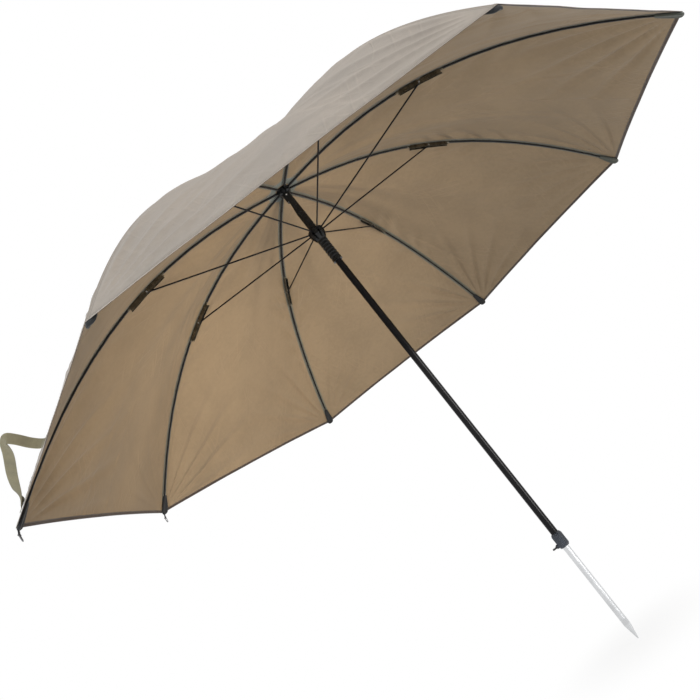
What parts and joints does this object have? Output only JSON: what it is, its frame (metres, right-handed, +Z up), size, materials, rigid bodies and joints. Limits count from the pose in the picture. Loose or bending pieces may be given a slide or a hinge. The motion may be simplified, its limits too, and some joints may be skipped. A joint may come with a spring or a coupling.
{
  "type": "fishing umbrella",
  "caption": "Large domed fishing umbrella on a two-part pole with a ground point, a sliding runner and jointed ribs under a cloth canopy.",
  "frame": {"origin": "tip of the ground point, on the pole axis", "axes": "+Z up along the pole, -Y through the middle of one canopy panel, +X to the right of it"},
  "size_m": [2.1041, 2.0972, 1.6906],
  "materials": {
    "bright_steel": "bright drawn tube and wire",
    "black_steel": "glossy black coating",
    "black_glass_fibre": "satin black rod",
    "black_moulding": "satin moulded",
    "blue_grey_moulding": "satin moulded",
    "black_webbing": "woven",
    "olive_webbing": "woven",
    "canopy_cloth": "coated plain weave"
  },
  "bodies": {
    "lower": {"lower_pole": "bright_steel"},
    "upper": {"upper_pole": "black_steel", "height_collar": "blue_grey_moulding", "hub": "black_moulding", "hub_wire": "bright_steel", "hub_pin": "bright_steel", "top_cap": "black_moulding"},
    "runner": {"runner": "black_moulding"},
    "thumbscrew": {"thumbscrew": "black_moulding"},
    "inner_1": {"inner_rib_1": "black_glass_fibre", "inner_canopy_1": "canopy_cloth"},
    "outer_1": {"outer_rib_1": "black_glass_fibre", "outer_canopy_1": "canopy_cloth", "rib_pocket_1": "black_webbing", "tie_strap": "olive_webbing"},
    "brace_1": {"stretcher_1": "black_steel"},
    "inner_2": {"inner_rib_2": "black_glass_fibre", "inner_canopy_2": "canopy_cloth"},
    "outer_2": {"outer_rib_2": "black_glass_fibre", "outer_canopy_2": "canopy_cloth", "rib_pocket_2": "black_webbing"},
    "brace_2": {"stretcher_2": "black_steel"},
    "inner_3": {"inner_rib_3": "black_glass_fibre", "inner_canopy_3": "canopy_cloth"},
    "outer_3": {"outer_rib_3": "black_glass_fibre", "outer_canopy_3": "canopy_cloth", "rib_pocket_3": "black_webbing"},
    "brace_3": {"stretcher_3": "black_steel"},
    "inner_4": {"inner_rib_4": "black_glass_fibre", "inner_canopy_4": "canopy_cloth"},
    "outer_4": {"outer_rib_4": "black_glass_fibre", "outer_canopy_4": "canopy_cloth", "rib_pocket_4": "black_webbing"},
    "brace_4": {"stretcher_4": "black_steel"},
    "inner_5": {"inner_rib_5": "black_glass_fibre", "inner_canopy_5": "canopy_cloth"},
    "outer_5": {"outer_rib_5": "black_glass_fibre", "outer_canopy_5": "canopy_cloth", "rib_pocket_5": "black_webbing"},
    "brace_5": {"stretcher_5": "black_steel"},
    "inner_6": {"inner_rib_6": "black_glass_fibre", "inner_canopy_6": "canopy_cloth"},
    "outer_6": {"outer_rib_6": "black_glass_fibre", "outer_canopy_6": "canopy_cloth", "rib_pocket_6": "black_webbing"},
    "brace_6": {"stretcher_6": "black_steel"},
    "inner_7": {"inner_rib_7": "black_glass_fibre", "inner_canopy_7": "canopy_cloth"},
    "outer_7": {"outer_rib_7": "black_glass_fibre", "outer_canopy_7": "canopy_cloth", "rib_pocket_7": "black_webbing"},
    "brace_7": {"stretcher_7": "black_steel"},
    "inner_8": {"inner_rib_8": "black_glass_fibre", "inner_canopy_8": "canopy_cloth"},
    "outer_8": {"outer_rib_8": "black_glass_fibre", "outer_canopy_8": "canopy_cloth", "rib_pocket_8": "black_webbing"},
    "brace_8": {"stretcher_8": "black_steel"},
    "guy_ring_1": {"guy_ring_1": "bright_steel"},
    "guy_ring_8": {"guy_ring_8": "bright_steel"}
  },
  "joints": [
    {"name": "height_slide", "type": "slide", "parent": "lower", "child": "upper", "axis": [0, 0, 1], "range_m": [-0.22, 0.6]},
    {"name": "runner_slide", "type": "slide", "parent": "upper", "child": "runner", "axis": [0, 0, -1], "range_m": [0, 0.884], "deforming": ["inner_canopy_1", "inner_canopy_2", "inner_canopy_3", "inner_canopy_4", "inner_canopy_5", "inner_canopy_6", "inner_canopy_7", "inner_canopy_8", "outer_canopy_1", "outer_canopy_2", "outer_canopy_3", "outer_canopy_4", "outer_canopy_5", "outer_canopy_6", "outer_canopy_7", "outer_canopy_8", "tie_strap"]},
    {"name": "thumbscrew_turn", "type": "hinge", "parent": "upper", "child": "thumbscrew", "pos_m": [0, 0, 0.306], "axis": [-1, 0, 0], "range_deg": [0, 360]},
    {"name": "rib_fold_1", "type": "hinge", "parent": "upper", "child": "inner_1", "pos_m": [-0.01478, -0.00612, 1.667], "axis": [0.3827, -0.9239, 0], "range_deg": [0, 76.53]},
    {"name": "knuckle_fold_1", "type": "hinge", "parent": "inner_1", "child": "outer_1", "pos_m": [-0.50321, -0.20844, 1.57328], "axis": [0.3827, -0.9239, 0], "range_deg": [-21.78, 0]},
    {"name": "stretcher_fold_1", "type": "hinge", "parent": "inner_1", "child": "brace_1", "pos_m": [-0.50321, -0.20844, 1.57328], "axis": [0.3827, -0.9239, 0], "range_deg": [-154.22, 0]},
    {"name": "rib_fold_2", "type": "hinge", "parent": "upper", "child": "inner_2", "pos_m": [-0.00612, -0.01478, 1.667], "axis": [0.9239, -0.3827, 0], "range_deg": [0, 76.53]},
    {"name": "knuckle_fold_2", "type": "hinge", "parent": "inner_2", "child": "outer_2", "pos_m": [-0.20844, -0.50321, 1.57328], "axis": [0.9239, -0.3827, 0], "range_deg": [-21.78, 0]},
    {"name": "stretcher_fold_2", "type": "hinge", "parent": "inner_2", "child": "brace_2", "pos_m": [-0.20844, -0.50321, 1.57328], "axis": [0.9239, -0.3827, 0], "range_deg": [-154.22, 0]},
    {"name": "rib_fold_3", "type": "hinge", "parent": "upper", "child": "inner_3", "pos_m": [0.00612, -0.01478, 1.667], "axis": [0.9239, 0.3827, 0], "range_deg": [0, 76.53]},
    {"name": "knuckle_fold_3", "type": "hinge", "parent": "inner_3", "child": "outer_3", "pos_m": [0.20844, -0.50321, 1.57328], "axis": [0.9239, 0.3827, 0], "range_deg": [-21.78, 0]},
    {"name": "stretcher_fold_3", "type": "hinge", "parent": "inner_3", "child": "brace_3", "pos_m": [0.20844, -0.50321, 1.57328], "axis": [0.9239, 0.3827, 0], "range_deg": [-154.22, 0]},
    {"name": "rib_fold_4", "type": "hinge", "parent": "upper", "child": "inner_4", "pos_m": [0.01478, -0.00612, 1.667], "axis": [0.3827, 0.9239, 0], "range_deg": [0, 76.53]},
    {"name": "knuckle_fold_4", "type": "hinge", "parent": "inner_4", "child": "outer_4", "pos_m": [0.50321, -0.20844, 1.57328], "axis": [0.3827, 0.9239, 0], "range_deg": [-21.78, 0]},
    {"name": "stretcher_fold_4", "type": "hinge", "parent": "inner_4", "child": "brace_4", "pos_m": [0.50321, -0.20844, 1.57328], "axis": [0.3827, 0.9239, 0], "range_deg": [-154.22, 0]},
    {"name": "rib_fold_5", "type": "hinge", "parent": "upper", "child": "inner_5", "pos_m": [0.01478, 0.00612, 1.667], "axis": [-0.3827, 0.9239, 0], "range_deg": [0, 76.53]},
    {"name": "knuckle_fold_5", "type": "hinge", "parent": "inner_5", "child": "outer_5", "pos_m": [0.50321, 0.20844, 1.57328], "axis": [-0.3827, 0.9239, 0], "range_deg": [-21.78, 0]},
    {"name": "stretcher_fold_5", "type": "hinge", "parent": "inner_5", "child": "brace_5", "pos_m": [0.50321, 0.20844, 1.57328], "axis": [-0.3827, 0.9239, 0], "range_deg": [-154.22, 0]},
    {"name": "rib_fold_6", "type": "hinge", "parent": "upper", "child": "inner_6", "pos_m": [0.00612, 0.01478, 1.667], "axis": [-0.9239, 0.3827, 0], "range_deg": [0, 76.53]},
    {"name": "knuckle_fold_6", "type": "hinge", "parent": "inner_6", "child": "outer_6", "pos_m": [0.20844, 0.50321, 1.57328], "axis": [-0.9239, 0.3827, 0], "range_deg": [-21.78, 0]},
    {"name": "stretcher_fold_6", "type": "hinge", "parent": "inner_6", "child": "brace_6", "pos_m": [0.20844, 0.50321, 1.57328], "axis": [-0.9239, 0.3827, 0], "range_deg": [-154.22, 0]},
    {"name": "rib_fold_7", "type": "hinge", "parent": "upper", "child": "inner_7", "pos_m": [-0.00612, 0.01478, 1.667], "axis": [-0.9239, -0.3827, 0], "range_deg": [0, 76.53]},
    {"name": "knuckle_fold_7", "type": "hinge", "parent": "inner_7", "child": "outer_7", "pos_m": [-0.20844, 0.50321, 1.57328], "axis": [-0.9239, -0.3827, 0], "range_deg": [-21.78, 0]},
    {"name": "stretcher_fold_7", "type": "hinge", "parent": "inner_7", "child": "brace_7", "pos_m": [-0.20844, 0.50321, 1.57328], "axis": [-0.9239, -0.3827, 0], "range_deg": [-154.22, 0]},
    {"name": "rib_fold_8", "type": "hinge", "parent": "upper", "child": "inner_8", "pos_m": [-0.01478, 0.00612, 1.667], "axis": [-0.3827, -0.9239, 0], "range_deg": [0, 76.53]},
    {"name": "knuckle_fold_8", "type": "hinge", "parent": "inner_8", "child": "outer_8", "pos_m": [-0.50321, 0.20844, 1.57328], "axis": [-0.3827, -0.9239, 0], "range_deg": [-21.78, 0]},
    {"name": "stretcher_fold_8", "type": "hinge", "parent": "inner_8", "child": "brace_8", "pos_m": [-0.50321, 0.20844, 1.57328], "axis": [-0.3827, -0.9239, 0], "range_deg": [-154.22, 0]},
    {"name": "guy_ring_swing_1", "type": "hinge", "parent": "outer_1", "child": "guy_ring_1", "pos_m": [-1.04929, -0.43463, 1.15092], "axis": [0.3827, -0.9239, 0], "range_deg": [-60, 60]},
    {"name": "guy_ring_swing_8", "type": "hinge", "parent": "outer_8", "child": "guy_ring_8", "pos_m": [-1.04889, 0.43008, 1.15092], "axis": [0.5373, -0.8434, 0], "range_deg": [-60, 60]}
  ],
  "couplings": [
    {"joint": "rib_fold_1", "follows": "runner_slide", "rad_per_m": 1.5106},
    {"joint": "knuckle_fold_1", "follows": "runner_slide", "rad_per_m": -0.42962},
    {"joint": "stretcher_fold_1", "follows": "runner_slide", "rad_per_m": -3.0444},
    {"joint": "rib_fold_2", "follows": "runner_slide", "rad_per_m": 1.5106},
    {"joint": "knuckle_fold_2", "follows": "runner_slide", "rad_per_m": -0.42962},
    {"joint": "stretcher_fold_2", "follows": "runner_slide", "rad_per_m": -3.0444},
    {"joint": "rib_fold_3", "follows": "runner_slide", "rad_per_m": 1.5106},
    {"joint": "knuckle_fold_3", "follows": "runner_slide", "rad_per_m": -0.42962},
    {"joint": "stretcher_fold_3", "follows": "runner_slide", "rad_per_m": -3.0444},
    {"joint": "rib_fold_4", "follows": "runner_slide", "rad_per_m": 1.5106},
    {"joint": "knuckle_fold_4", "follows": "runner_slide", "rad_per_m": -0.42962},
    {"joint": "stretcher_fold_4", "follows": "runner_slide", "rad_per_m": -3.0444},
    {"joint": "rib_fold_5", "follows": "runner_slide", "rad_per_m": 1.5106},
    {"joint": "knuckle_fold_5", "follows": "runner_slide", "rad_per_m": -0.42962},
    {"joint": "stretcher_fold_5", "follows": "runner_slide", "rad_per_m": -3.0444},
    {"joint": "rib_fold_6", "follows": "runner_slide", "rad_per_m": 1.5106},
    {"joint": "knuckle_fold_6", "follows": "runner_slide", "rad_per_m": -0.42962},
    {"joint": "stretcher_fold_6", "follows": "runner_slide", "rad_per_m": -3.0444},
    {"joint": "rib_fold_7", "follows": "runner_slide", "rad_per_m": 1.5106},
    {"joint": "knuckle_fold_7", "follows": "runner_slide", "rad_per_m": -0.42962},
    {"joint": "stretcher_fold_7", "follows": "runner_slide", "rad_per_m": -3.0444},
    {"joint": "rib_fold_8", "follows": "runner_slide", "rad_per_m": 1.5106},
    {"joint": "knuckle_fold_8", "follows": "runner_slide", "rad_per_m": -0.42962},
    {"joint": "stretcher_fold_8", "follows": "runner_slide", "rad_per_m": -3.0444}
  ]
}
